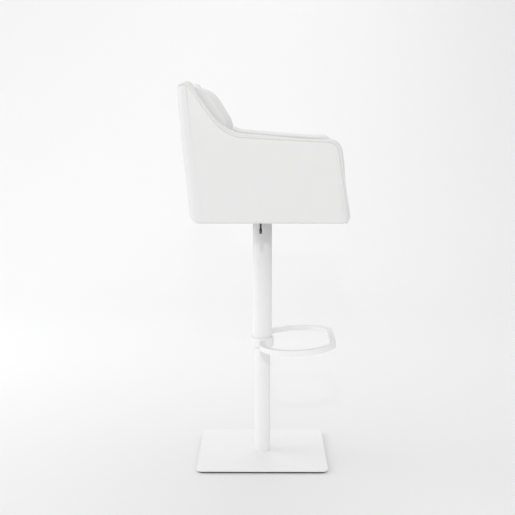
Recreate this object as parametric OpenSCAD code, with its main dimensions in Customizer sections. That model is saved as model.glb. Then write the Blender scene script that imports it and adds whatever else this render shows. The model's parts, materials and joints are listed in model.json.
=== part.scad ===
// Armchair-style bar stool: a padded bucket seat on a gas-lift column with a
// square foot plate and a footrest loop that rises, falls and turns with the seat.
// Millimetres. +Z is up. The origin is on the floor, on the column's axis.
// The sitter faces -Y, so the sitter's left is +X. The seat is drawn fully raised.

/* [Foot plate] */
// Side of the square steel foot plate
plate_size = 400; // [360:5:440]
// Thickness of the foot plate
plate_thickness = 6; // [5:0.5:8]
// Radius of the foot plate's corners
plate_corner = 18; // [10:1:30]
// Thickness of the rubber sheet under the foot plate
pad_thickness = 6; // [4:0.5:8]

/* [Column] */
// Outer diameter of the fixed lower tube
lower_tube_d = 50; // [48:1:51]
// Outer diameter of the moving upper tube
upper_tube_d = 60; // [59:1:62]
// Wall of both tubes
tube_wall = 2; // [1.5:0.5:2.5]
// Height of the upper tube's bottom end, with the seat fully raised
sleeve_bottom = 352; // [340:1:360]
// Height of the lower tube's top end
lower_tube_top = 490; // [480:1:493]
// Vertical travel of the seat
lift_travel = 210; // [180:5:210]

/* [Footrest] */
// Outer diameter of the clamping collar
collar_d = 72; // [70:1:78]
// Height of the collar
collar_h = 30; // [26:1:34]
// Width and height of the square footrest bar
bar = 16; // [14:1:18]
// Height of the bar's centre line above the collar's lower face
bar_rise = 13; // [11:1:14]
// Straight run of each arm, measured from the column's axis
arm_run = 76; // [70:1:80]
// Upward tilt of the footrest towards its front
bar_tilt = 3; // [0:0.5:4]

/* [Seat shell] */
// Outside width over the arms
shell_w = 500; // [480:5:520]
// Height of the shell's underside, with the seat fully raised
shell_z = 768; // [766:1:770]
// Height of the side panel's edge at the front of the arm
arm_z = 1002; // [980:1:1015]
// Height of the side panel's upper rear corner
back_z = 1178; // [1150:1:1185]
// Width of one upholstered arm
arm_w = 70; // [64:1:76]
// Thickness of the padded outer panels
skin = 8; // [6:0.5:8]
// Lean of the back from vertical, in degrees
back_lean = 5.1; // [4:0.1:6]
// Height of the seat cushion's upper face above the shell's underside
cushion_rise = 84; // [75:1:95]

/* [Lever] */
// Distance of the lever's tip from the column's axis
lever_reach = 238; // [200:1:242]
// Drop of the lever's tip below its pivot
lever_drop = 16; // [10:1:18]

/* [Hidden] */
$fn = 96;
play = 0.05;
lower_r = lower_tube_d / 2;
lower_bore_r = lower_r - tube_wall;
upper_r = upper_tube_d / 2;
upper_bore_r = upper_r - tube_wall;
plate_top = pad_thickness + plate_thickness;

// gas spring
rod_r = 5;
cylinder_r = 14;
cylinder_bore_r = 12.5;
plug_h = 20;
bearing_h = 6;
rod_shoulder = plate_top + plug_h + bearing_h;
cylinder_bottom = rod_shoulder + 14 + lift_travel;
cylinder_top = shell_z - 18;
taper_bottom = shell_z - 58;
taper_top_r = 13;
rod_top = cylinder_bottom + 34;
piston_h = 12;

// seat pan
pan_metal = 3;
pan_floor = shell_z - 21;
pan_size = [120, 100];
flange_size = [180, 160];
bolt_x = 75;
bolt_y = 65;
socket_r = 23;
cover_t = 2;
board_t = 12;
board_z = shell_z + cover_t;

// lever
lever_y = 5;
pivot = [-38, shell_z - 11];
hub_r = 6;
lever_rod_r = 3;
grip_start = 188;
grip_neck_r = 3.9;
grip_r = 4.4;
grip_rim = 2.8;

// seat shell
half_w = shell_w / 2;
side_board_t = 10;
board_front = -242;
board_length = 442;
arm_inner_x = half_w - arm_w;
board_half = half_w - skin - side_board_t;
corner_r = 34;
back_foot_y = 210;
post_depth = 50;
gusset_out = 7;
gusset_in = 1;
gusset_foot = back_z - shell_z - 15;
back_board_h = gusset_foot - 23;

// corners of the side panel as [y, z, radius], counter-clockwise seen from +X
side_corners = [
    [-252, shell_z, 22],
    [170, shell_z, 10],
    [218, back_z, 4],
    [107, arm_z + 14, 100],
    [-230, arm_z, 34]
];

// corners of the back cushion's section as [y, z, radius]
back_cushion_corners = [
    [94, board_z + board_t, 6],
    [190, board_z + board_t, 2],
    [222, back_z - 15.5, 2],
    [200, back_z - 13.5, 8],
    [157, back_z - 21, 95],
    [90.5, back_z - 120, 64]
];

// section of the seat board, its lower edges eased where the leather folds under
board_section = [
    [board_front + 7, board_z - 1, 0.5],
    [board_front + board_length - 12, board_z - 1, 0.5],
    [board_front + board_length, board_z + 9, 0.5],
    [board_front + board_length, board_z + board_t + 1, 0.5],
    [board_front, board_z + board_t + 1, 0.5],
    [board_front, board_z + 6, 0.5]
];

// corners of the seat cushion's section as [y, z, radius]
seat_cushion_corners = [
    [-258, shell_z, 12],
    [board_front, shell_z, 2],
    [board_front, board_z + board_t, 0.1],
    [92, board_z + board_t, 2],
    [92, shell_z + cushion_rise - 6, 10],
    [-100, shell_z + cushion_rise, 300],
    [-256, shell_z + cushion_rise - 10, 28]
];

// ---- helpers ----

function unit(v) = v / norm(v);
function flat(c) = [c[0], c[1]];
function turn_to(a, b) = let (d = b - a) d > 180 ? d - 360 : d < -180 ? d + 360 : d;
function cross2(a, b) = a[0] * b[1] - a[1] * b[0];

// Points of the arc that rounds corner b, between its neighbours a and c
function rounded(a, b, c) =
    let (
        u = unit(flat(a) - flat(b)),
        v = unit(flat(c) - flat(b)),
        half = acos(u * v) / 2,
        centre = flat(b) + unit(u + v) * b[2] / sin(half),
        from = flat(b) + u * b[2] / tan(half) - centre,
        to = flat(b) + v * b[2] / tan(half) - centre,
        start = atan2(from[1], from[0]),
        sweep = turn_to(start, atan2(to[1], to[0])),
        steps = max(2, ceil(abs(sweep) / 11))
    )
    [for (i = [0 : steps]) centre + b[2] * [cos(start + sweep * i / steps), sin(start + sweep * i / steps)]];

// Outline through corners given as [x, y, radius]
function outline(c) =
    [for (i = [0 : len(c) - 1]) each rounded(c[(i + len(c) - 1) % len(c)], c[i], c[(i + 1) % len(c)])];

// The same corners moved inward by gap, for a counter-clockwise list
function inset(c, gap) =
    [for (i = [0 : len(c) - 1])
        let (
            u = unit(flat(c[i]) - flat(c[(i + len(c) - 1) % len(c)])),
            v = unit(flat(c[(i + 1) % len(c)]) - flat(c[i])),
            n = [-u[1], u[0]],
            m = [-v[1], v[0]],
            p = flat(c[i]) + (n + m) * gap / (1 + n * m),
            r = cross2(u, v) > 0 ? c[i][2] - gap : c[i][2] + gap
        )
        [p[0], p[1], max(r, 0.5)]];

// Slab between x0 and x1 whose outline is given in the Y-Z plane
module side_slab(x0, x1, corners) {
    translate([x0, 0, 0])
        rotate([90, 0, 90])
            linear_extrude(x1 - x0) polygon(outline(corners));
}

// Rectangle centred on the origin, with round corners
module round_rect(size, r) {
    square([size[0] - 2 * r, size[1]], center = true);
    square([size[0], size[1] - 2 * r], center = true);
    for (x = [-1, 1], y = [-1, 1])
        translate([x * (size[0] / 2 - r), y * (size[1] / 2 - r)]) circle(r);
}

module tube(r_out, r_in, z0, z1) {
    translate([0, 0, z0])
        difference() {
            cylinder(h = z1 - z0, r = r_out);
            translate([0, 0, -1]) cylinder(h = z1 - z0 + 2, r = r_in);
        }
}

module rod(r, z0, z1) {
    translate([0, 0, z0]) cylinder(h = z1 - z0, r = r);
}

// Frame that leans with the back: y = 0 is its outer face, z = 0 its foot
module at_back() {
    translate([0, back_foot_y, shell_z]) rotate([-back_lean, 0, 0]) children();
}

// side is 1 for the sitter's left, -1 for the sitter's right
module on_side(side) {
    mirror([side < 0 ? 1 : 0, 0, 0]) children();
}

module four(x, y) {
    for (i = [-1, 1], j = [-1, 1]) translate([i * x, j * y, 0]) children();
}

// ---- foot ----

screw_pitch = 10.5;

module base_pad() {
    color([0.10, 0.10, 0.11])
        linear_extrude(pad_thickness)
            round_rect([plate_size - 14, plate_size - 14], plate_corner - 5);
}

module base_plate() {
    color([0.93, 0.93, 0.93])
        difference() {
            translate([0, 0, pad_thickness])
                linear_extrude(plate_thickness) round_rect([plate_size, plate_size], plate_corner);
            four(screw_pitch, screw_pitch) screw_body(play);
        }
}

// Countersunk screw that enters the plug from below
module screw_body(gap) {
    translate([0, 0, pad_thickness]) cylinder(h = 3, r1 = 6 + gap, r2 = 3 + gap);
    rod(3 + gap, pad_thickness, plate_top + 12);
}

module base_screws() {
    color([0.70, 0.70, 0.72])
        four(screw_pitch, screw_pitch)
            difference() {
                screw_body(0);
                translate([0, 0, pad_thickness - 1]) cylinder(h = 2.6, r = 2, $fn = 6);
            }
}

module tube_plug() {
    color([0.60, 0.60, 0.62])
        difference() {
            rod(lower_bore_r, plate_top, plate_top + plug_h);
            rod(rod_r + play, plate_top - 1, plate_top + plug_h + 1);
            rod(8, plate_top - 1, plate_top + 5);
            four(screw_pitch, screw_pitch) rod(3, plate_top - 1, plate_top + 12);
        }
}

module lower_tube() {
    color([0.93, 0.93, 0.93]) tube(lower_r, lower_bore_r, plate_top, lower_tube_top);
}

// Plastic sleeve that steadies the gas cylinder in the lower tube
module guide_bush() {
    color([0.15, 0.15, 0.16])
        difference() {
            union() {
                rod(lower_bore_r, lower_tube_top - 100, lower_tube_top);
                rod(lower_r, lower_tube_top, lower_tube_top + 4);
            }
            rod(cylinder_r + play, lower_tube_top - 101, lower_tube_top + 5);
        }
}

// Ring on the lower tube's top end that the upper tube slides over
module slide_ring() {
    color([0.15, 0.15, 0.16])
        tube(upper_bore_r - play, lower_r, lower_tube_top - 32, lower_tube_top - 8);
}

module thrust_bearing() {
    color([0.75, 0.75, 0.78])
        tube(13, rod_r + play, plate_top + plug_h, plate_top + plug_h + bearing_h);
}

// ---- gas spring ----

module piston_rod() {
    color([0.80, 0.80, 0.82])
        difference() {
            union() {
                rod(rod_r, plate_top + 0.5, rod_top);
                rod(9, rod_shoulder, rod_shoulder + 3);
            }
            tube(rod_r + 1, rod_r - 1, plate_top + 2, plate_top + 3.5);
        }
}

module rod_clip() {
    color([0.45, 0.45, 0.47])
        difference() {
            tube(7, rod_r - 1, plate_top + 2, plate_top + 3.5);
            translate([0, 4.5, plate_top + 2.75]) cube([4, 7, 3], center = true);
        }
}

module piston() {
    color([0.70, 0.62, 0.35])
        tube(cylinder_bore_r - play, rod_r, rod_top - piston_h, rod_top);
}

// Pressure tube with a closed, tapered head that carries the seat
module gas_cylinder() {
    color([0.16, 0.16, 0.17])
        difference() {
            union() {
                rod(cylinder_r, cylinder_bottom, taper_bottom);
                translate([0, 0, taper_bottom])
                    cylinder(h = cylinder_top - taper_bottom, r1 = cylinder_r, r2 = taper_top_r);
            }
            rod(cylinder_bore_r, cylinder_bottom - 1, taper_bottom - 10);
            rod(2.5 + play, taper_bottom - 11, cylinder_top + 1);
        }
}

module cylinder_guide() {
    color([0.55, 0.55, 0.57])
        tube(cylinder_bore_r, rod_r + play, cylinder_bottom, cylinder_bottom + 20);
}

module release_pin() {
    color([0.80, 0.80, 0.82]) {
        rod(2.5, cylinder_top - 40, pivot[1] - 1);
        translate([0, 0, pivot[1] - 1]) cylinder(h = 0.6, r1 = 2.5, r2 = 1.8);
    }
}

// ---- seat carrier and lever ----

module taper_socket() {
    color([0.30, 0.30, 0.31])
        difference() {
            rod(socket_r, taper_bottom, pan_floor + 6);
            translate([0, 0, taper_bottom])
                cylinder(h = cylinder_top - taper_bottom, r1 = cylinder_r, r2 = taper_top_r);
            rod(taper_top_r, cylinder_top - 1, pan_floor + 7);
        }
}

// Pressed steel pan: a flange under the seat board and a tray for the lever
module seat_pan() {
    tray_h = shell_z - pan_floor;
    color([0.30, 0.30, 0.31]) {
        difference() {
            union() {
                translate([0, 0, pan_floor]) linear_extrude(tray_h) round_rect(pan_size, 8);
                translate([0, 0, shell_z - pan_metal])
                    linear_extrude(pan_metal) round_rect(flange_size, 12);
            }
            translate([0, 0, pan_floor + pan_metal])
                linear_extrude(tray_h)
                    round_rect([pan_size[0] - 2 * pan_metal, pan_size[1] - 2 * pan_metal], 5);
            rod(socket_r, pan_floor - 1, shell_z);
            four(bolt_x, bolt_y) rod(4.5, shell_z - pan_metal - 1, shell_z + 1);
            translate([-pan_size[0] / 2 - 1, lever_y - 7, pan_floor + pan_metal])
                cube([pan_metal + 2, 14, 14]);
        }
        pivot_ears();
    }
}

module pivot_ears() {
    for (s = [-1, 1])
        translate([pivot[0], lever_y + s * 9.5, 0])
            difference() {
                translate([-8, -1.5, pan_floor + pan_metal]) cube([16, 3, 14]);
                translate([0, 2, pivot[1]]) rotate([90, 0, 0]) cylinder(h = 4, r = 3);
            }
}

module pivot_pin() {
    color([0.75, 0.75, 0.78])
        translate([pivot[0], lever_y + 12, pivot[1]]) rotate([90, 0, 0]) cylinder(h = 24, r = 3);
}

lever_length = lever_reach + pivot[0];
lever_slope = atan(lever_drop / lever_length);

// Frame along the lever: x runs outward from the pivot, towards the sitter's right
module along_lever() {
    translate([pivot[0], lever_y, pivot[1]]) rotate([0, lever_slope, 180]) children();
}

module lever_rod() {
    color([0.75, 0.75, 0.77])
        difference() {
            union() {
                translate([pivot[0], lever_y + 7, pivot[1]])
                    rotate([90, 0, 0]) cylinder(h = 14, r = hub_r);
                along_lever() rotate([0, 90, 0]) cylinder(h = lever_length - 8, r = lever_rod_r);
                translate([pivot[0], lever_y - 7.5, pivot[1] + 0.2]) cube([-pivot[0] + 5, 10.5, 4]);
            }
            translate([pivot[0], lever_y + 8, pivot[1]])
                rotate([90, 0, 0]) cylinder(h = 16, r = 3 + play);
        }
}

// Sleeve over the rod's outer end, closed by a cap with a rounded rim
module lever_grip() {
    length = lever_reach - grip_start;
    color([0.08, 0.08, 0.09])
        along_lever()
            translate([lever_length - length, 0, 0])
                rotate([0, 90, 0])
                    rotate_extrude()
                        polygon(concat(
                            [[lever_rod_r, 0], [grip_neck_r, 0], [grip_r, length - grip_rim]],
                            [for (a = [15 : 15 : 75])
                                [grip_r - grip_rim + grip_rim * cos(a), length - grip_rim + grip_rim * sin(a)]],
                            [[grip_r - grip_rim, length], [0, length], [0, length - 8], [lever_rod_r, length - 8]]
                        ));
}

// ---- upper tube and footrest ----

module upper_tube() {
    color([0.93, 0.93, 0.93]) tube(upper_r, upper_bore_r, sleeve_bottom, pan_floor - 3);
}

module tube_cap() {
    color([0.15, 0.15, 0.16])
        difference() {
            union() {
                rod(upper_bore_r, pan_floor - 25, pan_floor - 3);
                rod(upper_r, pan_floor - 3, pan_floor);
            }
            rod(socket_r, pan_floor - 26, pan_floor + 1);
        }
}

module lower_bush() {
    color([0.15, 0.15, 0.16])
        tube(upper_bore_r, lower_r + play, sleeve_bottom, sleeve_bottom + 24);
}

module collar_screw_places() {
    for (a = [35, 75])
        translate([0, 0, sleeve_bottom + collar_h / 2]) rotate([0, 0, a]) rotate([0, 90, 0]) children();
}

module collar() {
    r = collar_d / 2;
    color([0.93, 0.93, 0.93])
        difference() {
            translate([0, 0, sleeve_bottom])
                rotate_extrude()
                    polygon([[upper_r, 0], [r - 1, 0], [r, 1], [r, collar_h - 1], [r - 1, collar_h], [upper_r, collar_h]]);
            collar_screw_places() cylinder(h = r + 2, r = 3);
        }
}

module collar_screws() {
    color([0.25, 0.25, 0.26])
        collar_screw_places()
            difference() {
                translate([0, 0, upper_r + 0.2]) cylinder(h = collar_d / 2 - upper_r - 0.8, r = 3);
                translate([0, 0, collar_d / 2 - 3]) cylinder(h = 4, r = 1.5, $fn = 6);
            }
}

// Half of the loop's centre line as [x, y, heading], from the collar to the middle of the
// front. Each stretch starts at the last point and turns right to a new heading.
function bend(p, radius, heading) =
    let (steps = ceil(abs(heading - p[2]) / 6))
    [for (i = [1 : steps])
        let (h = p[2] + (heading - p[2]) * i / steps)
        [p[0] + radius * (sin(p[2]) - sin(h)), p[1] + radius * (cos(h) - cos(p[2])), h]];

function last(list) = list[len(list) - 1];

shoulder = bend([arm_run, 0, 0], 73, -11);
flank = bend(last(shoulder), 111, -165);
front_corner = bend(last(flank), 41, -178);
front_run = bend(last(front_corner), last(front_corner)[0] / sin(2), -180);
half_loop = concat([[0, 0, 0], [arm_run, 0, 0]], shoulder, flank, front_corner, front_run);

// The half loop moved sideways, and its mirror image, as one closed outline
function loop_outline(shift) =
    let (half = [for (p = half_loop) [p[0] - shift * sin(p[2]), p[1] + shift * cos(p[2])]])
    concat(half, [for (i = [len(half) - 2 : -1 : 1]) [-half[i][0], half[i][1]]]);

module footrest_loop() {
    color([0.93, 0.93, 0.93])
        difference() {
            translate([0, 0, sleeve_bottom + bar_rise])
                rotate([-bar_tilt, 0, 0])
                    translate([0, 0, -bar / 2])
                        linear_extrude(bar)
                            difference() {
                                polygon(loop_outline(bar / 2));
                                polygon(loop_outline(-bar / 2));
                            }
            rod(collar_d / 2, sleeve_bottom, sleeve_bottom + collar_h + 10);
        }
}

// ---- fasteners of the seat ----

module seat_bolts() {
    color([0.70, 0.70, 0.72])
        four(bolt_x, bolt_y) {
            rod(4, shell_z - pan_metal - 2, board_z + board_t - 2);
            translate([0, 0, shell_z - pan_metal - 7]) cylinder(h = 5.4, r = 7.5, $fn = 6);
        }
}

module seat_washers() {
    color([0.75, 0.75, 0.78])
        four(bolt_x, bolt_y) tube(8, 4, shell_z - pan_metal - 1.6, shell_z - pan_metal);
}

module tee_nuts() {
    color([0.70, 0.70, 0.72])
        four(bolt_x, bolt_y) {
            tube(5, 4, board_z, board_z + board_t - 1.2);
            tube(11, 4, board_z + board_t - 1.2, board_z + board_t);
        }
}

// ---- timber frame ----

module dust_cover() {
    color([0.13, 0.13, 0.14])
        difference() {
            translate([0, board_front + board_length / 2 - 3, shell_z])
                linear_extrude(cover_t) round_rect([2 * half_w - 24, board_length - 26], 24);
            four(bolt_x, bolt_y) rod(4.5, shell_z - 1, shell_z + cover_t + 1);
        }
}

module seat_board() {
    color([0.80, 0.68, 0.48])
        difference() {
            intersection() {
                translate([0, board_front + board_length / 2, board_z])
                    linear_extrude(board_t) round_rect([2 * board_half, board_length], 26);
                side_slab(-board_half - 1, board_half + 1, board_section);
            }
            four(bolt_x, bolt_y) {
                rod(5, board_z - 1, board_z + board_t + 1);
                rod(11, board_z + board_t - 1.2, board_z + board_t + 1);
            }
            frame_screw_places() frame_screw();
        }
}

module frame_screw_places() {
    for (side = [-1, 1], y = [-190, -20, 140])
        on_side(side) translate([half_w - skin, y, board_z + board_t / 2]) rotate([0, -90, 0]) children();
}

module frame_screw() {
    cylinder(h = 3, r1 = 5, r2 = 2.5);
    cylinder(h = 45, r = 2.5);
}

module frame_screws() {
    color([0.60, 0.60, 0.55]) frame_screw_places() frame_screw();
}

// Plywood behind each arm's outer panel, screwed to the edge of the seat board
module side_board(side) {
    corners = [for (c = side_corners) [c[0], c[1] == shell_z ? board_z - side_board_t : c[1], c[2]]];
    color([0.80, 0.68, 0.48])
        difference() {
            on_side(side) side_slab(board_half, half_w - skin, inset(corners, side_board_t));
            frame_screw_places() frame_screw();
        }
}

module back_board() {
    color([0.80, 0.68, 0.48])
        difference() {
            at_back()
                translate([0, -skin, 13.5])
                    rotate([90, 0, 0])
                        linear_extrude(side_board_t)
                            translate([0, back_board_h / 2])
                                round_rect([2 * (half_w - corner_r), back_board_h], 20);
            post_screw_places() post_screw();
        }
}

// Block that joins a side board to the back board
module corner_post(side) {
    color([0.78, 0.66, 0.46])
        difference() {
            on_side(side)
                at_back()
                    translate([arm_inner_x, -post_depth, 13])
                        cube([board_half - arm_inner_x, post_depth - skin - side_board_t, 325]);
            post_screw_places() post_screw();
        }
}

module post_screw_places() {
    for (side = [-1, 1], z = [60, 180, 300])
        on_side(side)
            at_back() translate([arm_inner_x + 18, -skin, z]) rotate([90, 0, 0]) children();
}

module post_screw() {
    cylinder(h = 3, r1 = 4.5, r2 = 2.2);
    cylinder(h = 34, r = 2.2);
}

module post_screws() {
    color([0.60, 0.60, 0.55]) post_screw_places() post_screw();
}

// ---- upholstery ----

leather = [0.91, 0.90, 0.89];

module outer_panel(side) {
    color(leather) on_side(side) side_slab(half_w - skin, half_w, side_corners);
}

// Plan of the back: round corners, with the open side towards the front
module back_plan(half, r) {
    translate([0, -100]) square([2 * half, 200 - 2 * r], center = true);
    translate([0, -60]) square([2 * (half - r), 120], center = true);
    for (x = [-1, 1]) translate([x * (half - r), -r]) circle(r);
}

// Everything behind the seam line of the side panels
module behind_seam() {
    seam_foot = side_corners[1];
    seam_head = side_corners[2];
    translate([-half_w - 1, 0, 0])
        rotate([90, 0, 90])
            linear_extrude(shell_w + 2)
                polygon([
                    [seam_foot[0], seam_foot[1]],
                    [seam_foot[0] + 120, seam_foot[1]],
                    [seam_head[0] + 120, seam_head[1]],
                    [seam_head[0], seam_head[1]]
                ]);
}

module back_panel() {
    color(leather)
        intersection() {
            behind_seam();
            at_back()
                translate([0, 0, -20])
                    linear_extrude(gusset_foot + 20)
                        difference() {
                            back_plan(half_w, corner_r);
                            translate([0, -skin]) back_plan(half_w - skin, corner_r - skin);
                        }
        }
}

// Space of the seat board and of the corner posts, cut out of the arms' padding
module over_board_and_posts() {
    translate([0, board_front, shell_z - 50]) cube([half_w, 700, 50 + cover_t + board_t]);
    at_back() translate([0, -post_depth, -50]) cube([half_w, 150, 600]);
}

// Strip over the arm and up the wing, with the seams at its two edges
module arm_gusset(side) {
    color(leather)
        on_side(side)
            difference() {
                side_slab(arm_inner_x, half_w - skin, inset(side_corners, -gusset_out));
                side_slab(arm_inner_x - 1, half_w, inset(side_corners, gusset_in));
                translate([0, -300, shell_z - 50]) cube([half_w, 700, 50]);
                over_board_and_posts();
            }
}

module top_gusset() {
    color(leather)
        at_back()
            translate([0, 0, gusset_foot])
                linear_extrude(8)
                    intersection() {
                        back_plan(half_w - skin, corner_r - skin);
                        translate([0, -20]) square([shell_w, 56], center = true);
                    }
}

module arm_pad(side) {
    color(leather)
        on_side(side)
            difference() {
                side_slab(arm_inner_x, board_half, inset(side_corners, gusset_in));
                over_board_and_posts();
            }
}

module seat_cushion() {
    color(leather) side_slab(-arm_inner_x, arm_inner_x, seat_cushion_corners);
}

module back_cushion() {
    color(leather) side_slab(-arm_inner_x, arm_inner_x, back_cushion_corners);
}

// ---- nodes ----

base_pad();
base_plate();
base_screws();
tube_plug();
lower_tube();
guide_bush();
slide_ring();
thrust_bearing();
piston_rod();
piston();
rod_clip();
gas_cylinder();
cylinder_guide();
release_pin();
taper_socket();
seat_pan();
tube_cap();
upper_tube();
lower_bush();
collar();
collar_screws();
footrest_loop();
lever_rod();
lever_grip();
pivot_pin();
seat_bolts();
seat_washers();
tee_nuts();
dust_cover();
seat_board();
side_board(1);  // side_board_left
side_board(-1);  // side_board_right
back_board();
corner_post(1);  // corner_post_left
corner_post(-1);  // corner_post_right
frame_screws();
post_screws();
outer_panel(1);  // outer_panel_left
outer_panel(-1);  // outer_panel_right
back_panel();
arm_gusset(1);  // arm_gusset_left
arm_gusset(-1);  // arm_gusset_right
top_gusset();
arm_pad(1);  // arm_pad_left
arm_pad(-1);  // arm_pad_right
seat_cushion();
back_cushion();
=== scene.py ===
"""A white armchair-style bar stool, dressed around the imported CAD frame.

Metres, +Z up, origin on the floor under the column. The sitter faces -Y and +X is
the sitter's left. The steelwork is the CAD's own; the upholstery is built here.
"""
import json
import math

import bmesh
import bpy
import numpy as np
from mathutils import Matrix, Vector, noise
from mathutils.geometry import delaunay_2d_cdt


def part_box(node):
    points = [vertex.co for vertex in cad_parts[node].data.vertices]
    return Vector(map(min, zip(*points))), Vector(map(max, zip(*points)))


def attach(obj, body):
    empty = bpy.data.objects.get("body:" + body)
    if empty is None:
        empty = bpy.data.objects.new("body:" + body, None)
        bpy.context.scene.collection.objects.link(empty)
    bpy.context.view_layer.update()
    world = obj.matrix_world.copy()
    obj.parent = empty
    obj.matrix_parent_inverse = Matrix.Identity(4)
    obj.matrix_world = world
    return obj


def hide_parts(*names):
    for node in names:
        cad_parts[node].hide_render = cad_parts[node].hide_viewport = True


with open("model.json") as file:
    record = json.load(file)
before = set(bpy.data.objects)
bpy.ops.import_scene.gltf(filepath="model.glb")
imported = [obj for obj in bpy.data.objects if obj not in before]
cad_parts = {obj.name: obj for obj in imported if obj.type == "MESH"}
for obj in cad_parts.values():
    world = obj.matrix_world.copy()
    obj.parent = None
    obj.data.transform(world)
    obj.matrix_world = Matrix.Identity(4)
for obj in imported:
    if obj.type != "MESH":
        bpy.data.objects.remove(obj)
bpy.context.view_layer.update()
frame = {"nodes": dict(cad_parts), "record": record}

scene = bpy.context.scene

# ---------------------------------------------------------------- sizes, from the frame

panel_low, panel_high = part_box("outer_panel_right")
HALF_W = -panel_low.x
SHELL_Z = panel_low.z
TIP_Z = panel_high.z
ARM_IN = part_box("seat_cushion")[1].x
# heights of the arm's seam above the shell's underside, at its front and where the wing starts
ARM_Z = SHELL_Z + 0.233
ARM_REAR_Z = SHELL_Z + 0.2505
LEATHER_T = 0.0022
PIPE_R = 0.0027

# the seam round a side panel, as corners (y, z, radius), from the bottom front corner on
SEAM_CORNERS = [
    (-0.2545, SHELL_Z, 0.022),
    (0.170, SHELL_Z, 0.003),
    (0.2175, TIP_Z + 0.0045, 0.003),
    (0.107, ARM_REAR_Z, 0.112),
    (-0.215, ARM_Z, 0.030),
]
# the arm's front as the eye sees it: y at the bottom and at the arm's height, and its rounding
FRONT_FOOT = -0.2575
FRONT_HEAD = -0.2355
FRONT_R = 0.030

# how far the leather sinks in at the piping and at the back's side seam, and that seam's width
PIPE_DIP = 0.0022
BACK_DIP = 0.0005
BACK_DIP_R = 0.002
# the round at the folded foot, and how much larger it is across the back
FOOT_R = 0.007
FOOT_R_BEHIND = 0.019
# the back's outer face: y at its foot, and how far it leans back up to the wing's tip
BACK_FOOT_Y = 0.2105
BACK_RAKE = 0.0345
# the round between side and back, at the foot, and how much smaller it is at the tip
CORNER_R = 0.036
CORNER_TAPER = 0.010
# the back: how far its side seams lean out, how far it laps under the side panels, how far its
# middle stands out, and how far its top seam drops from the wing's tip
BACK_BOW = 0.004
BACK_LAP = 0.0003
BACK_BULGE = 0.003
BACK_SEAM_TIP_Z = TIP_Z - 0.001
TOP_DIP = 0.0075

# the strip over arms and back: its height above the seam at the front, along the arm and at the
# wing's tip, its line against the back cushion, and where it is cut into three pieces
STRIP_LOW = 0.0018
STRIP_FRONT = 0.014
STRIP_ARM = 0.0070
STRIP_TIP = 0.0108
STRIP_INSET = 0.0030
CUSHION_TOP_Y = 0.2035
WING_CUT_Y = 0.185
SEAM_ALLOWANCE = 0.006

# the back cushion: y of its rear, and how far its side edges lie behind its middle
CUSHION_REAR_Y = 0.222
BACK_CROWN = 0.008
# the cushions' cloth pressure, their voxels, and how far each may swell
PRESSURE = 4.0
CUSHION_VOXEL = 0.0055
SEAT_SWELL = 0.014
BACK_SWELL = 0.0035
ARM_SWELL = 0.008

# the pale backdrop: distance of its wall and the round between floor and wall
WALL_X = 5.0
COVE_R = 2.5

# ---------------------------------------------------------------- small helpers


def unit(v):
    return v / np.linalg.norm(v)


def smooth(a, b, x):
    """0 below a, 1 above b, and a smooth step between."""
    t = np.clip((x - a) / (b - a), 0, 1)
    return t * t * (3 - 2 * t)


def wave(p, size, seed):
    """Smooth noise from -1 to 1 at point p, with features about size across."""
    return noise.noise(Vector(p) / size + Vector((seed * 7.3, seed * 3.1, seed * 5.7)))


def rounded(corners, arc_step=0.0025):
    """Points of a closed outline whose corners are (y, z, radius), and each point's corner."""
    points, owner = [], []
    n = len(corners)
    for i, corner in enumerate(corners):
        p = np.array(corner[:2])
        u = unit(np.array(corners[i - 1][:2]) - p)
        v = unit(np.array(corners[(i + 1) % n][:2]) - p)
        half = math.acos(np.clip(u @ v, -1, 1)) / 2
        radius = corner[2]
        centre = p + unit(u + v) * radius / math.sin(half)
        start = p + u * radius / math.tan(half) - centre
        end = p + v * radius / math.tan(half) - centre
        sweep = math.atan2(start[0] * end[1] - start[1] * end[0], start @ end)
        steps = max(3, int(abs(sweep) * radius / arc_step))
        for k in range(steps + 1):
            a = sweep * k / steps
            turn = np.array([[math.cos(a), -math.sin(a)], [math.sin(a), math.cos(a)]])
            points.append(centre + turn @ start)
            owner.append(i)
    return np.array(points), owner


def densified(points, owner, step=0.01):
    """The closed outline with extra points, of no corner, along its straight runs."""
    dense, names = [], []
    for k, p in enumerate(points):
        q = points[(k + 1) % len(points)]
        count = max(1, int(np.linalg.norm(q - p) / step))
        for i in range(count):
            dense.append(p + (q - p) * i / count)
            names.append(owner[k] if i == 0 else -1)
    return np.array(dense), names


def resample(points, step, closed=False):
    """The same polyline with points about step apart."""
    p = np.vstack([points, points[:1]]) if closed else np.asarray(points)
    lengths = np.r_[0, np.cumsum(np.linalg.norm(np.diff(p, axis=0), axis=1))]
    count = max(2, int(round(lengths[-1] / step)))
    at = np.linspace(0, lengths[-1], count + 1)
    out = np.stack([np.interp(at, lengths, p[:, k]) for k in range(p.shape[1])], 1)
    return out[:-1] if closed else out


def polyline_distance(points, line):
    """Distance from each point to a polyline."""
    best = np.full(len(points), 1e9)
    for a, b in zip(line[:-1], line[1:]):
        d = b - a
        t = np.clip((points - a) @ d / max(d @ d, 1e-12), 0, 1)
        best = np.minimum(best, np.linalg.norm(points - a - t[:, None] * d, axis=1))
    return best


def new_object(name, verts, faces, material, flip=False):
    """A piece of the seat's body from plain lists."""
    mesh = bpy.data.meshes.new(name)
    if flip:
        faces = [tuple(reversed(f)) for f in faces]
    mesh.from_pydata([tuple(v) for v in verts], [], [tuple(f) for f in faces])
    mesh.validate()
    mesh.shade_smooth()
    mesh.materials.append(material)
    obj = bpy.data.objects.new(name, mesh)
    scene.collection.objects.link(obj)
    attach(obj, "seat")
    return obj


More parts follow.
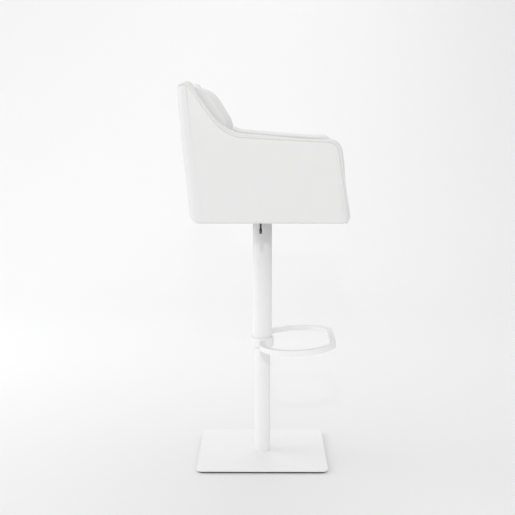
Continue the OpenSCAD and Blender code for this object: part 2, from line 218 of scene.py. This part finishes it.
def grid_faces(rows, cols, wrap=False):
    """Quads over a grid of points, closed round each row when wrap is set."""
    faces = []
    for i in range(rows - 1):
        for j in range(cols if wrap else cols - 1):
            beside = (j + 1) % cols
            faces.append((i * cols + j, i * cols + beside, (i + 1) * cols + beside, (i + 1) * cols + j))
    return faces


def solidify(obj, thickness):
    """Gives a sheet its thickness, inwards from its faces, as part of the mesh."""
    mod = obj.modifiers.new("thickness", "SOLIDIFY")
    mod.thickness = thickness
    mod.offset = -1.0
    mod.use_even_offset = False
    apply_modifiers(obj)


def fold_in(obj, direction):
    """Turns the free edges of a panel in along direction, as a seam allowance."""
    bm = bmesh.new()
    bm.from_mesh(obj.data)
    edges = [e for e in bm.edges if e.is_boundary]
    new = bmesh.ops.extrude_edge_only(bm, edges=edges)["geom"]
    for v in new:
        if isinstance(v, bmesh.types.BMVert):
            v.co += Vector(direction)
    bm.to_mesh(obj.data)
    bm.free()


def apply_modifiers(obj):
    """Makes the modifiers' result the object's own mesh."""
    graph = bpy.context.evaluated_depsgraph_get()
    mesh = bpy.data.meshes.new_from_object(obj.evaluated_get(graph))
    obj.modifiers.clear()
    obj.data = mesh
    mesh.shade_smooth()


def face_out(obj):
    """Turns a sheet's faces away from the middle of the shell."""
    mesh = obj.data
    middle = Vector((0.0, 0.0, 0.92))
    total = sum(f.area * f.normal.dot((f.center - middle).normalized()) for f in mesh.polygons)
    if total < 0:
        mesh.flip_normals()


def cord(name, path, radius, material, sides=10):
    """A round cord along a path, with flat ends."""
    path = np.asarray(path, float)
    tangent = np.gradient(path, axis=0)
    tangent /= np.linalg.norm(tangent, axis=1)[:, None]
    normal = unit(np.cross(tangent[0], [0.3, 0.5, 0.81]))
    verts = []
    for point, ahead in zip(path, tangent):
        normal = unit(normal - (normal @ ahead) * ahead)
        side = np.cross(ahead, normal)
        for a in np.linspace(0, 2 * math.pi, sides, endpoint=False):
            verts.append(point + radius * (math.cos(a) * normal + math.sin(a) * side))
    faces = grid_faces(len(path), sides, wrap=True)
    faces.append(tuple(reversed(range(sides))))
    faces.append(tuple(range(len(verts) - sides, len(verts))))
    return new_object(name, verts, faces, material, flip=True)


# ---------------------------------------------------------------- materials


class Nodes:
    """A node material whose colour, roughness and bump come from textures in object space."""

    def __init__(self, name, colour, roughness, metallic=0.0):
        self.material = bpy.data.materials.new(name)
        self.material.use_nodes = True
        self.tree = self.material.node_tree
        self.shader = self.tree.nodes["Principled BSDF"]
        self.shader.inputs["Metallic"].default_value = metallic
        self.colour = colour
        self.roughness = roughness
        self.place = self.tree.nodes.new("ShaderNodeTexCoord").outputs["Object"]

    def stretched(self, scale):
        mapping = self.tree.nodes.new("ShaderNodeMapping")
        mapping.inputs["Scale"].default_value = scale
        self.tree.links.new(self.place, mapping.inputs["Vector"])
        return mapping.outputs["Vector"]

    def noise(self, scale, detail=3.0, vector=None):
        node = self.tree.nodes.new("ShaderNodeTexNoise")
        node.inputs["Scale"].default_value = scale
        node.inputs["Detail"].default_value = detail
        self.tree.links.new(vector or self.place, node.inputs["Vector"])
        return node.outputs["Fac"]

    def cells(self, scale, feature="F1"):
        node = self.tree.nodes.new("ShaderNodeTexVoronoi")
        node.feature = feature
        node.inputs["Scale"].default_value = scale
        self.tree.links.new(self.place, node.inputs["Vector"])
        return node.outputs["Distance"]

    def ramp(self, value, low, high):
        node = self.tree.nodes.new("ShaderNodeMapRange")
        node.inputs["To Min"].default_value = low
        node.inputs["To Max"].default_value = high
        self.tree.links.new(value, node.inputs["Value"])
        return node.outputs["Result"]

    def vary_colour(self, value, other):
        node = self.tree.nodes.new("ShaderNodeMix")
        node.data_type = "RGBA"
        node.inputs["A"].default_value = (*self.colour, 1)
        node.inputs["B"].default_value = (*other, 1)
        self.tree.links.new(value, node.inputs["Factor"])
        self.tree.links.new(node.outputs["Result"], self.shader.inputs["Base Color"])

    def vary_roughness(self, value, spread):
        out = self.ramp(value, self.roughness - spread, self.roughness + spread)
        self.tree.links.new(out, self.shader.inputs["Roughness"])

    def bump(self, layers):
        """layers holds (height output, strength) from the coarsest to the finest."""
        below = None
        for height, strength in layers:
            node = self.tree.nodes.new("ShaderNodeBump")
            node.inputs["Strength"].default_value = strength
            node.inputs["Distance"].default_value = 0.001
            self.tree.links.new(height, node.inputs["Height"])
            if below is not None:
                self.tree.links.new(below, node.inputs["Normal"])
            below = node.outputs["Normal"]
        self.tree.links.new(below, self.shader.inputs["Normal"])


def leather(name, colour, shade):
    m = Nodes(name, colour, 0.47)
    m.shader.inputs["Specular IOR Level"].default_value = 0.42
    m.vary_colour(m.noise(9.0, 5.0), shade)
    m.vary_roughness(m.noise(28.0, 4.0), 0.07)
    m.bump([
        (m.noise(34.0, 3.0), 0.10),
        (m.cells(620.0, "SMOOTH_F1"), 0.16),
        (m.noise(1500.0, 2.0), 0.08),
    ])
    return m.material


def powder_coat(name, colour, shade, roughness):
    m = Nodes(name, colour, roughness)
    m.vary_colour(m.noise(14.0, 4.0), shade)
    m.vary_roughness(m.noise(60.0, 3.0), 0.05)
    m.bump([(m.noise(420.0, 2.0), 0.10), (m.noise(1800.0, 1.0), 0.05)])
    return m.material


def moulded(name, colour, shade, roughness):
    m = Nodes(name, colour, roughness)
    m.vary_colour(m.noise(25.0, 4.0), shade)
    m.vary_roughness(m.noise(90.0, 3.0), 0.08)
    m.bump([(m.noise(900.0, 3.0), 0.12)])
    return m.material


def brushed(name, colour, shade, roughness, grain):
    m = Nodes(name, colour, roughness, metallic=1.0)
    lines = m.noise(1.0, 4.0, m.stretched(grain))
    m.vary_colour(lines, shade)
    m.vary_roughness(lines, 0.08)
    m.bump([(lines, 0.06)])
    return m.material


def timber(name, colour, shade):
    m = Nodes(name, colour, 0.62)
    plies = m.noise(1.0, 5.0, m.stretched((8.0, 60.0, 400.0)))
    m.vary_colour(plies, shade)
    m.vary_roughness(m.noise(80.0, 3.0), 0.08)
    m.bump([(plies, 0.2)])
    return m.material


def nonwoven(name, colour, shade):
    m = Nodes(name, colour, 0.9)
    m.vary_colour(m.noise(160.0, 4.0), shade)
    m.vary_roughness(m.noise(40.0, 2.0), 0.05)
    m.bump([(m.cells(480.0), 0.3), (m.noise(2200.0, 2.0), 0.2)])
    return m.material


WHITE_LEATHER = leather("white_leather", (0.787, 0.784, 0.782), (0.757, 0.753, 0.749))
WHITE_COAT = powder_coat("white_powder_coat", (0.88, 0.88, 0.878), (0.85, 0.85, 0.848), 0.36)
BLACK_COAT = powder_coat("black_powder_coat", (0.045, 0.045, 0.048), (0.07, 0.07, 0.075), 0.45)
RUBBER = moulded("black_rubber", (0.03, 0.03, 0.032), (0.055, 0.055, 0.06), 0.8)
PLASTIC = moulded("black_plastic", (0.085, 0.085, 0.088), (0.115, 0.115, 0.12), 0.42)
ZINC = brushed("zinc_steel", (0.62, 0.62, 0.63), (0.46, 0.46, 0.48), 0.34, (300, 300, 40))
CHROME = brushed("chrome_rod", (0.80, 0.80, 0.82), (0.70, 0.70, 0.72), 0.14, (500, 500, 30))
BRASS = brushed("brass_piston", (0.72, 0.56, 0.28), (0.55, 0.42, 0.2), 0.3, (40, 40, 500))
PLYWOOD = timber("birch_plywood", (0.66, 0.50, 0.31), (0.45, 0.31, 0.17))
CLOTH = nonwoven("black_nonwoven", (0.04, 0.04, 0.043), (0.075, 0.075, 0.08))

MATERIAL_OF_SLOT = {
    "powder_white": WHITE_COAT,
    "black_rubber": RUBBER,
    "black_plastic": PLASTIC,
    "zinc_steel": ZINC,
    "chrome_rod": CHROME,
    "brass_piston": BRASS,
    "black_steel": BLACK_COAT,
    "black_fabric": CLOTH,
    "plywood": PLYWOOD,
    "white_leather": WHITE_LEATHER,
    "padded_leather": WHITE_LEATHER,
}
for part in frame["record"]["subparts"]:
    node = frame["nodes"][part["node"]]
    node.data.materials.clear()
    node.data.materials.append(MATERIAL_OF_SLOT[part["material_slot"]])

# ---------------------------------------------------------------- steelwork


def soften_edges(name, width):
    """Breaks the sharp edges of a CAD node with a small round."""
    node = frame["nodes"][name]
    mod = node.modifiers.new("edge_round", "BEVEL")
    mod.width = width
    mod.segments = 3
    mod.limit_method = "ANGLE"
    mod.angle_limit = math.radians(40)
    mod.harden_normals = True


# ---------------------------------------------------------------- shell upholstery


def shell_share(z):
    """Height in the shell, 0 at its underside and 1 at the wing's tip."""
    return np.clip((z - SHELL_Z) / (TIP_Z - SHELL_Z), 0, 1)


def seam_y_straight(z):
    """y of the line from the back seam's foot to the wing's tip at height z."""
    return SEAM_CORNERS[1][0] + (SEAM_CORNERS[2][0] - SEAM_CORNERS[1][0]) * shell_share(z)


def seam_bow(z):
    return BACK_BOW * np.sin(np.pi * shell_share(z))


def seam_y(z):
    """y of the seam between side and back panel at height z."""
    return seam_y_straight(z) + seam_bow(z)


def back_y(z):
    """y of the back's outer face at height z."""
    return BACK_FOOT_Y + BACK_RAKE * shell_share(z)


def bowed(points):
    """The back seam leans out a little between its ends; points far from it keep their place."""
    p = np.array(points, float)
    near = 1 - smooth(0.0, 0.10, seam_y_straight(p[:, 1]) - p[:, 0])
    p[:, 0] += seam_bow(p[:, 1]) * near
    return p


def outline_run(start, stop):
    """Outline points from index start to index stop, wrapping round."""
    if stop < start:
        return np.vstack([outline[start:], outline[: stop + 1]])
    return outline[start : stop + 1]


# the side panel's seam, and its runs between the corners of SEAM_CORNERS
outline, corner_of = densified(*rounded(SEAM_CORNERS))
outline = bowed(outline)
foot_front = max(k for k, corner in enumerate(corner_of) if corner == 0)
foot_rear = max(k for k, corner in enumerate(corner_of) if corner == 1)
tip = corner_of.index(2) + 1
arm_line = resample(outline_run(tip, foot_front)[::-1], 0.003)
back_line = resample(outline_run(foot_rear, tip), 0.004)
foot_line = outline_run(foot_front, corner_of.index(1))


def front_line(z):
    """y of the arm's front at height z, as seen from the side."""
    t = (z - SHELL_Z) / (ARM_Z - SHELL_Z)
    return FRONT_FOOT + (FRONT_HEAD - FRONT_FOOT) * t


def front_turn(y, z):
    """Sine of the angle by which the side panel has turned towards the arm's front."""
    return np.clip(front_line(z) + FRONT_R - y, 0, FRONT_R) / FRONT_R


def front_roll(y, z):
    """How far the side panel has turned in at a point near the arm's front."""
    return FRONT_R * (1 - np.sqrt(1 - front_turn(y, z) ** 2))


def seam_dip(distance, radius, depth):
    """Depth of the valley beside a seam, at a distance from it."""
    t = np.clip(1 - distance / radius, 0, 1)
    return depth * (1 - np.sqrt(1 - t * t))


def side_panel_points():
    """Points of the side panel in the Y-Z plane, and its triangles: rings close to the seam, and
    an even lattice of triangles inside them."""
    edge = resample(outline, 0.004, closed=True)
    points = [edge]
    tangent = np.roll(edge, -1, 0) - np.roll(edge, 1, 0)
    inward = np.stack([-tangent[:, 1], tangent[:, 0]], 1)
    inward /= np.linalg.norm(inward, axis=1)[:, None]
    closed = np.vstack([edge, edge[:1]])
    for depth in (0.0007, 0.0015, 0.0025, 0.004, 0.006):
        ring = edge + inward * depth
        points.append(ring[polyline_distance(ring, closed) > depth * 0.93])
    pitch = 0.0045
    ys = np.arange(outline[:, 0].min(), outline[:, 0].max(), pitch)
    zs = np.arange(outline[:, 1].min(), outline[:, 1].max(), pitch * 0.866)
    lattice = np.array([(y + (k % 2) * pitch / 2, z) for k, z in enumerate(zs) for y in ys])
    lattice = lattice[polyline_distance(lattice, closed) > 0.008]
    points.append(lattice)
    flat = np.vstack(points)
    loop = [(i, (i + 1) % len(edge)) for i in range(len(edge))]
    result = delaunay_2d_cdt([Vector(p) for p in flat], loop, [], 1, 1e-7)
    verts = np.array([tuple(v) for v in result[0]])
    return verts, [tuple(f) for f in result[2]]


flat_panel, panel_faces = side_panel_points()
to_pipe = polyline_distance(flat_panel, arm_line)
to_back = polyline_distance(flat_panel, back_line)
to_foot = polyline_distance(flat_panel, foot_line)
panel_in = front_roll(flat_panel[:, 0], flat_panel[:, 1])
panel_in = panel_in + seam_dip(to_pipe, 0.005, PIPE_DIP)
panel_in = panel_in + seam_dip(to_back, BACK_DIP_R, BACK_DIP)
panel_in = panel_in + seam_dip(to_foot, FOOT_R, FOOT_R)


def pucker(distance, along, seed):
    """Fine gathers that run out from a seam."""
    return 0.00035 * math.exp(-distance / 0.012) * wave((along, 0, 0), 0.007, seed)


def side_cover(side):
    """The outer side panel's leather, dented by the seams round it."""
    name = "side_cover_left" if side > 0 else "side_cover_right"
    verts = []
    for k, (y, z) in enumerate(flat_panel):
        dent = 0.0006 * wave((y, z, side), 0.11, 1) + 0.0005
        dent -= pucker(min(to_pipe[k], to_back[k]), y * 1.3 + z, 2 + side)
        verts.append((side * (HALF_W - panel_in[k] - max(dent, 0)), y, z))
    obj = new_object(name, verts, panel_faces, WHITE_LEATHER)
    fold_in(obj, (-side * 1.5 * SEAM_ALLOWANCE, 0, 0))
    face_out(obj)
    solidify(obj, LEATHER_T)
    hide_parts("outer_panel_left" if side > 0 else "outer_panel_right")


def crown(t):
    """0 at t = 0 and 1, and 1 between: the section of a padded strip."""
    power = 2.6
    return (1 - abs(2 * t - 1) ** power) ** (1 / power)


def back_section(z):
    """Half of the back cover's plan at height z, from the side seam round the corner to the
    middle, as rows of (x, y, normal x, normal y)."""
    radius = CORNER_R - CORNER_TAPER * shell_share(z)
    y0, y1 = seam_y(z) - BACK_LAP, back_y(z)
    run = max(y1 - radius - y0, 0.001)
    points = []
    for k in range(5):
        points.append((HALF_W, y0 + run * k / 5, 1.0, 0.0))
    for k in range(15):
        a = math.pi / 2 * k / 15
        x = HALF_W - radius + radius * math.cos(a)
        y = y0 + run + radius * math.sin(a)
        points.append((x, y, math.cos(a), math.sin(a)))
    for k in range(25):
        s = k / 24
        x = (HALF_W - radius) * (1 - s)
        y = y0 + run + radius + BACK_BULGE * math.sin(math.pi / 2 * s)
        points.append((x, y, 0.0, 1.0))
    return np.array(points)


def run_lengths(points):
    """Distance of each point from the first one, along the line."""
    step = np.linalg.norm(np.diff(points, axis=0), axis=1)
    return np.r_[0, np.cumsum(step)]


def top_z(s):
    """Height of the back's top seam at s metres round from the side seam."""
    return BACK_SEAM_TIP_Z - TOP_DIP * smooth(0.0, 0.055, s)


def top_round(s):
    """How far the back cover has turned in at its top seam."""
    return PIPE_DIP + 0.0043 * smooth(0.0, 0.03, s)


def back_row(share, tuck_angle, extra):
    """One row of the back cover: share is its height from the foot's roll to the top seam,
    tuck_angle how far round the foot's roll it lies and extra how far under the shell."""
    plan = back_section(BACK_SEAM_TIP_Z)
    s = run_lengths(plan[:, :2])
    roll = FOOT_R + FOOT_R_BEHIND * plan[:, 3] ** 2
    low = SHELL_Z + roll * (1 - math.sin(tuck_angle))
    high = np.array([top_z(v) for v in s])
    heights = low + (high - low) * share
    tuck = roll * (1 - math.cos(tuck_angle)) + extra * (0.5 + plan[:, 3])
    row = []
    for k, z in enumerate(heights):
        x, y, nx, ny = back_section(z)[k]
        inset = tuck[k] + seam_dip(s[k], BACK_DIP_R, BACK_DIP)
        inset += seam_dip(high[k] - z, 0.012, top_round(s[k]))
        inset += 0.0007 * wave((x, y, z), 0.12, 8) + 0.0004 - pucker(s[k], z, 9)
        row.append((x - nx * inset, y - ny * inset, z))
    row = np.array(row)
    return np.vstack([row[:1] - [SEAM_ALLOWANCE, 0, 0], row])


def back_cover():
    """The leather that wraps the back from seam to seam and folds under the seat board."""
    half_rows = [back_row(0.0, math.pi / 2, 0.012) + [0, 0, 0.002]]
    for k in range(11):
        half_rows.append(back_row(0.0, math.pi / 2 * (1 - k / 10), 0.0))
    for k in range(1, 61):
        half_rows.append(back_row(1 - (1 - k / 60) ** 1.4, 0.0, 0.0))
    half_rows.append(half_rows[-1] - [0, 0.004, SEAM_ALLOWANCE])
    rows = []
    for half in half_rows:
        other = half[-2::-1].copy()
        other[:, 0] *= -1
        rows.append(np.vstack([half, other]))
    rows = np.array(rows)
    faces = grid_faces(rows.shape[0], rows.shape[1])
    obj = new_object("back_cover", rows.reshape(-1, 3), faces, WHITE_LEATHER)
    face_out(obj)
    solidify(obj, LEATHER_T)
    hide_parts("back_panel")


# ---- the padded strip over the arms and the back, and the piping along its outer edge


def strip_height(y, z):
    """How far the arm's strip swells beyond the seam line."""
    up_front = smooth(-0.165, -0.225, y)
    front = 0.001 + STRIP_FRONT * smooth(SHELL_Z + 0.004, ARM_Z - 0.03, z)
    arm = STRIP_ARM + 0.0062 * smooth(-0.15, 0.10, y) - 0.004 * smooth(0.11, 0.16, y)
    return arm * (1 - up_front) + front * up_front


def half_edge():
    """The shell's upper edge for x > 0, from under the arm's front round to the middle of the
    back: rows of (seam point, cover's normal, swelling direction, inner edge, height)."""
    tangent = np.gradient(arm_line, axis=0)
    tangent /= np.linalg.norm(tangent, axis=1)[:, None]
    up = np.array([0.0, 0.0, 1.0])
    ear_inner = np.array([ARM_IN, CUSHION_TOP_Y, BACK_SEAM_TIP_Z - 0.002])
    rows = []
    for (y, z), (ty, tz) in zip(arm_line, tangent):
        turn = front_turn(y, z)
        normal = np.array([math.sqrt(1 - turn * turn), -turn, 0.0])
        seam = np.array([HALF_W - front_roll(y, z), y, z]) - normal * PIPE_DIP
        ear = smooth(0.180, 0.212, y)
        swell = unit(np.array([0.0, -tz, ty]) * (1 - ear) + up * ear)
        sunk = 0.0005 + 0.0030 * smooth(SHELL_Z + 0.005, SHELL_Z + 0.04, z)
        inner = np.array([ARM_IN + 0.0005, y, z]) - np.array([0.0, -tz, ty]) * sunk
        inner = inner * (1 - ear) + ear_inner * ear
        height = strip_height(y, z) * (1 - ear) + STRIP_TIP * ear
        rows.append((seam, normal, swell, inner, height))
    plan = back_section(BACK_SEAM_TIP_Z)
    s = run_lengths(plan[:, :2])
    width = HALF_W - CORNER_R + CORNER_TAPER
    # the first points beside the wing's tip are left out, so that the line bends evenly there
    for k in range(3, len(plan)):
        z = top_z(s[k])
        x, y, nx, ny = back_section(z)[k]
        normal = np.array([nx, ny, 0.0])
        seam = np.array([x, y, z]) - normal * top_round(s[k])
        along = min(x / width, 1.0)
        inner = np.array([ARM_IN * along, CUSHION_TOP_Y, z - 0.002])
        height = STRIP_TIP - 0.0018 * smooth(0.0, 0.05, s[k])
        rows.append((seam, normal, up, inner, height))
    table = np.array([np.r_[row] for row in rows])
    at = run_lengths(table[:, :3])
    fine = np.linspace(0, at[-1], int(at[-1] / 0.003))
    table = np.stack([np.interp(fine, at, table[:, c]) for c in range(table.shape[1])], 1)
    # smooths every column after the seam point, and those after the normal three times as much
    for first, rounds in ((3, 3), (6, 6)):
        for _ in range(rounds):
            before, here, after = table[:-2, first:], table[1:-1, first:], table[2:, first:]
            table[1:-1, first:] = (before + 2 * here + after) / 4
    return table


def whole_edge():
    """The upper edge from one arm's front to the other's."""
    half = half_edge()
    other = half[-2::-1].copy()
    other[:, [0, 3, 6, 9]] *= -1
    return np.vstack([half, other])


def strip_row(entry):
    """Points across the strip: seam allowance, crown, lip over the inner edge, allowance."""
    seam, normal, swell, inner, height = entry[:3], entry[3:6], entry[6:9], entry[9:12], entry[12]
    rise = STRIP_LOW * smooth(SHELL_Z + 0.002, SHELL_Z + 0.03, seam[2])
    outer = seam + swell * rise - normal * STRIP_INSET
    row = [outer - swell * SEAM_ALLOWANCE]
    for t in 0.5 - 0.5 * np.cos(np.linspace(0, np.pi, 27)):
        p = outer + (inner - outer) * t
        swelling = (height - STRIP_LOW) * crown(t) + (STRIP_LOW - rise) * t * (1 - t)
        swelling += 0.0005 * wave(p, 0.035, 5) * crown(t)
        row.append(p + swell * swelling)
    row.append(inner - swell * 0.0045)
    row.append(inner - swell * 0.0090 + unit(outer - inner) * 0.004)
    return row


def strips():
    """The strip's leather, cut across at the wings into two arms and the back's top."""
    edge = whole_edge()
    rows = np.array([strip_row(entry) for entry in edge])
    behind = edge[:, 1] > WING_CUT_Y
    cuts = np.flatnonzero(behind[1:] != behind[:-1])
    first, last = cuts[0], cuts[-1]
    for name, node, part in (
        ("arm_gusset_left_cover", "arm_gusset_left", rows[: first + 1]),
        ("top_strip", "top_gusset", rows[first : last + 1]),
        ("arm_gusset_right_cover", "arm_gusset_right", rows[last:]),
    ):
        faces = grid_faces(part.shape[0], part.shape[1])
        obj = new_object(name, part.reshape(-1, 3), faces, WHITE_LEATHER)
        face_out(obj)
        solidify(obj, LEATHER_T)
        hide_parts(node)


def piping():
    """The cord sewn into the seam along the shell's whole upper edge."""
    edge = whole_edge()
    path = edge[:, :3] + edge[:, 6:9] * 0.0022 + edge[:, 3:6] * 0.0010
    start = next(k for k in range(len(edge)) if edge[k, 2] > SHELL_Z + 0.003)
    path = path[start : len(path) - start]
    cord("shell_piping", path, PIPE_R, WHITE_LEATHER)


# ---------------------------------------------------------------- cushions


def remeshed(name, node, shrink):
    """A copy of a soft CAD node, smaller by shrink (x, y, z), remeshed into even quads."""
    source = frame["nodes"][node]
    mesh = source.data.copy()
    mesh.name = name
    obj = bpy.data.objects.new(name, mesh)
    scene.collection.objects.link(obj)
    low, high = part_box(node)
    centre = (low + high) / 2
    scale = [(s - 2 * d) / s for s, d in zip(high - low, shrink)]
    mesh.transform(
        Matrix.Translation(centre) @ Matrix.Diagonal((*scale, 1)) @ Matrix.Translation(-centre)
    )
    mod = obj.modifiers.new("even", "REMESH")
    mod.mode = "VOXEL"
    mod.voxel_size = CUSHION_VOXEL
    apply_modifiers(obj)
    return obj


def inflate(obj, cap, freedom):
    """Blows the mesh up with cloth pressure. freedom(co) gives the share of cap a point may move."""
    rest = np.array([v.co for v in obj.data.vertices])
    cloth = obj.modifiers.new("pressure", "CLOTH")
    settings = cloth.settings
    settings.quality = 5
    settings.mass = 0.3
    settings.tension_stiffness = 15
    settings.compression_stiffness = 15
    settings.bending_stiffness = 0.5
    settings.use_pressure = True
    settings.uniform_pressure_force = PRESSURE
    settings.effector_weights.gravity = 0.0
    cloth.collision_settings.use_collision = False
    for f in range(1, 21):
        scene.frame_set(f)
    graph = bpy.context.evaluated_depsgraph_get()
    moved = np.array([v.co for v in obj.evaluated_get(graph).data.vertices])
    scene.frame_set(1)
    obj.modifiers.clear()
    shift = moved - rest
    size = np.linalg.norm(shift, axis=1)
    limit = np.array([cap * freedom(p) for p in rest])
    keep = np.where(size > limit, limit / np.maximum(size, 1e-9), 1.0)
    obj.data.vertices.foreach_set("co", (rest + shift * keep[:, None]).astype(np.float32).ravel())


def finish_cushion(obj, node):
    mod = obj.modifiers.new("smooth", "SUBSURF")
    mod.levels = 1
    mod.render_levels = 1
    apply_modifiers(obj)
    obj.data.materials.clear()
    obj.data.materials.append(WHITE_LEATHER)
    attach(obj, "seat")
    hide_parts(node)


def cushion_sides(p):
    """The share a cushion may swell near the arms beside it."""
    return 1 - 0.85 * smooth(ARM_IN - 0.030, ARM_IN - 0.006, abs(p[0]))


def seat_cushion():
    obj = remeshed("seat_cushion_pad", "seat_cushion", (0.003, 0.0015, -0.0005))

    def freedom(p):
        lift = smooth(SHELL_Z + 0.02, SHELL_Z + 0.06, p[2])
        front = 1 - 0.8 * smooth(-0.215, -0.245, p[1])
        return lift * cushion_sides(p) * front

    inflate(obj, SEAT_SWELL, freedom)
    finish_cushion(obj, "seat_cushion")


def before_board(y):
    """0 at the back board and 1 well before it."""
    return smooth(0.012, 0.05, CUSHION_REAR_Y - y)


def back_cushion():
    obj = remeshed("back_cushion_pad", "back_cushion", (0.003, 0.004, 0.003))
    for v in obj.data.vertices:
        v.co.y += BACK_CROWN * (v.co.x / ARM_IN) ** 2 * before_board(v.co.y)

    def freedom(p):
        return before_board(p[1]) * cushion_sides(p)

    inflate(obj, BACK_SWELL, freedom)
    finish_cushion(obj, "back_cushion")


def arm_pad(side):
    name = "arm_pad_left" if side > 0 else "arm_pad_right"
    obj = remeshed(name + "_cover", name, (0.0015, 0.0, -0.002))

    def freedom(p):
        inside = smooth(0.035, 0.0, abs(p[0]) - ARM_IN)
        below_seam = smooth(ARM_Z - 0.001, ARM_Z - 0.041, p[2])
        over_seat = smooth(SHELL_Z + 0.072, SHELL_Z + 0.122, p[2])
        between_ends = smooth(0.13, 0.07, p[1]) * smooth(-0.228, -0.175, p[1])
        return inside * below_seam * over_seat * between_ends

    inflate(obj, ARM_SWELL, freedom)
    finish_cushion(obj, name)


# ---------------------------------------------------------------- underside


def dust_cover():
    """The thin cloth stapled under the seat board, with a turned hem round its edge."""
    low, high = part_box("dust_cover")
    centre, half = (low + high) / 2, (high - low) / 2
    corner, hem = 0.024, 0.012
    xs = np.linspace(low.x, high.x, 61)
    ys = np.linspace(low.y, high.y, 56)
    verts = []
    for x in xs:
        for y in ys:
            reach_x = max(abs(x - centre.x) - (half.x - corner), 0.0)
            reach_y = max(abs(y - centre.y) - (half.y - corner), 0.0)
            reach = math.hypot(reach_x, reach_y)
            if reach > corner:
                x -= math.copysign(reach_x * (1 - corner / reach), x - centre.x)
                y -= math.copysign(reach_y * (1 - corner / reach), y - centre.y)
            edge = corner - min(reach, corner)
            inside = min(half.x - abs(x - centre.x), half.y - abs(y - centre.y))
            sag = 0.0010 * smooth(0.0, 0.05, min(edge + inside, 0.05))
            sag *= 0.6 + 0.4 * wave((x, y, 0), 0.09, 11)
            hemmed = edge if reach > 0 else inside
            turned = 0.0005 * (1 - smooth(hem - 0.001, hem + 0.001, hemmed))
            verts.append((x, y, low.z + 0.0012 - sag - turned))
    faces = grid_faces(len(xs), len(ys))
    obj = new_object("dust_cover_sheet", verts, faces, CLOTH)
    face_out(obj)
    solidify(obj, 0.0005)
    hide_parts("dust_cover")


# ---------------------------------------------------------------- build

for node_name, width in (("base_plate", 0.0012), ("footrest_loop", 0.0016), ("base_pad", 0.0008)):
    soften_edges(node_name, width)

for hand in (1, -1):
    side_cover(hand)
    arm_pad(hand)
back_cover()
strips()
piping()
seat_cushion()
back_cushion()
dust_cover()

# ---------------------------------------------------------------- stage, light and camera


def studio():
    """A pale floor that sweeps up into a wall far behind the stool, in even white light."""
    m = Nodes("pale_floor", (0.85, 0.85, 0.852), 0.65)
    m.vary_colour(m.noise(0.6, 4.0), (0.83, 0.83, 0.832))
    m.vary_roughness(m.noise(3.0, 3.0), 0.05)
    m.bump([(m.noise(120.0, 3.0), 0.03)])
    profile = [(x, 0.0) for x in np.linspace(-7.0, WALL_X - COVE_R, 24)]
    for a in np.radians(np.arange(5, 91, 5)):
        profile.append((WALL_X - COVE_R + COVE_R * math.sin(a), COVE_R - COVE_R * math.cos(a)))
    profile += [(WALL_X, COVE_R + h) for h in (0.5, 1.0, 2.0, 3.0)]
    ys = np.linspace(-9, 9, 19)
    mesh = bpy.data.meshes.new("floor")
    verts = [(x, y, z) for x, z in profile for y in ys]
    mesh.from_pydata(verts, [], grid_faces(len(profile), len(ys)))
    mesh.shade_smooth()
    mesh.materials.append(m.material)
    obj = bpy.data.objects.new("floor", mesh)
    scene.collection.objects.link(obj)
    world = bpy.data.worlds.new("studio")
    world.use_nodes = True
    background = world.node_tree.nodes["Background"]
    background.inputs["Color"].default_value = (1, 1, 1, 1)
    background.inputs["Strength"].default_value = 0.81
    scene.world = world


def area_light(name, place, target, size, power):
    """A rectangular light of size (width, height) at place, turned to target."""
    light = bpy.data.lights.new(name, "AREA")
    light.shape = "RECTANGLE"
    light.size, light.size_y = size
    light.energy = power
    obj = bpy.data.objects.new(name, light)
    scene.collection.objects.link(obj)
    obj.location = place
    aim = Vector(target) - Vector(place)
    obj.rotation_euler = aim.to_track_quat("-Z", "Y").to_euler()


def camera():
    """The camera at the stool's side, a little above its back and looking down."""
    data = bpy.data.cameras.new("camera")
    data.lens = 73.75
    data.sensor_width = 36.0
    data.clip_end = 100.0
    obj = bpy.data.objects.new("camera", data)
    scene.collection.objects.link(obj)
    pitch, yaw = math.radians(8.41), math.radians(0.25)
    ahead = Vector((math.cos(pitch) * math.cos(yaw), math.cos(pitch) * math.sin(yaw), -math.sin(pitch)))
    obj.location = (-3.270, 0.001, 1.117)
    obj.rotation_euler = ahead.to_track_quat("-Z", "Y").to_euler()
    scene.camera = obj


studio()
area_light("key", (-3.2, 0.05, 1.95), (0, 0, 0.75), (0.10, 0.10), 16)
area_light("side", (0.2, 3.4, 1.3), (0, 0, 0.7), (1.6, 1.6), 20)
area_light("fill", (-3.6, 0.8, 0.8), (0, 0, 0.6), (2.0, 1.2), 7)
area_light("wall", (1.2, 3.0, 2.3), (4.5, 1.4, 0.4), (2.5, 2.5), 30)
area_light("far_floor", (2.4, -0.3, 3.4), (2.2, -0.3, 0.0), (2.0, 4.0), 22)
camera()
scene.view_settings.view_transform = "Standard"
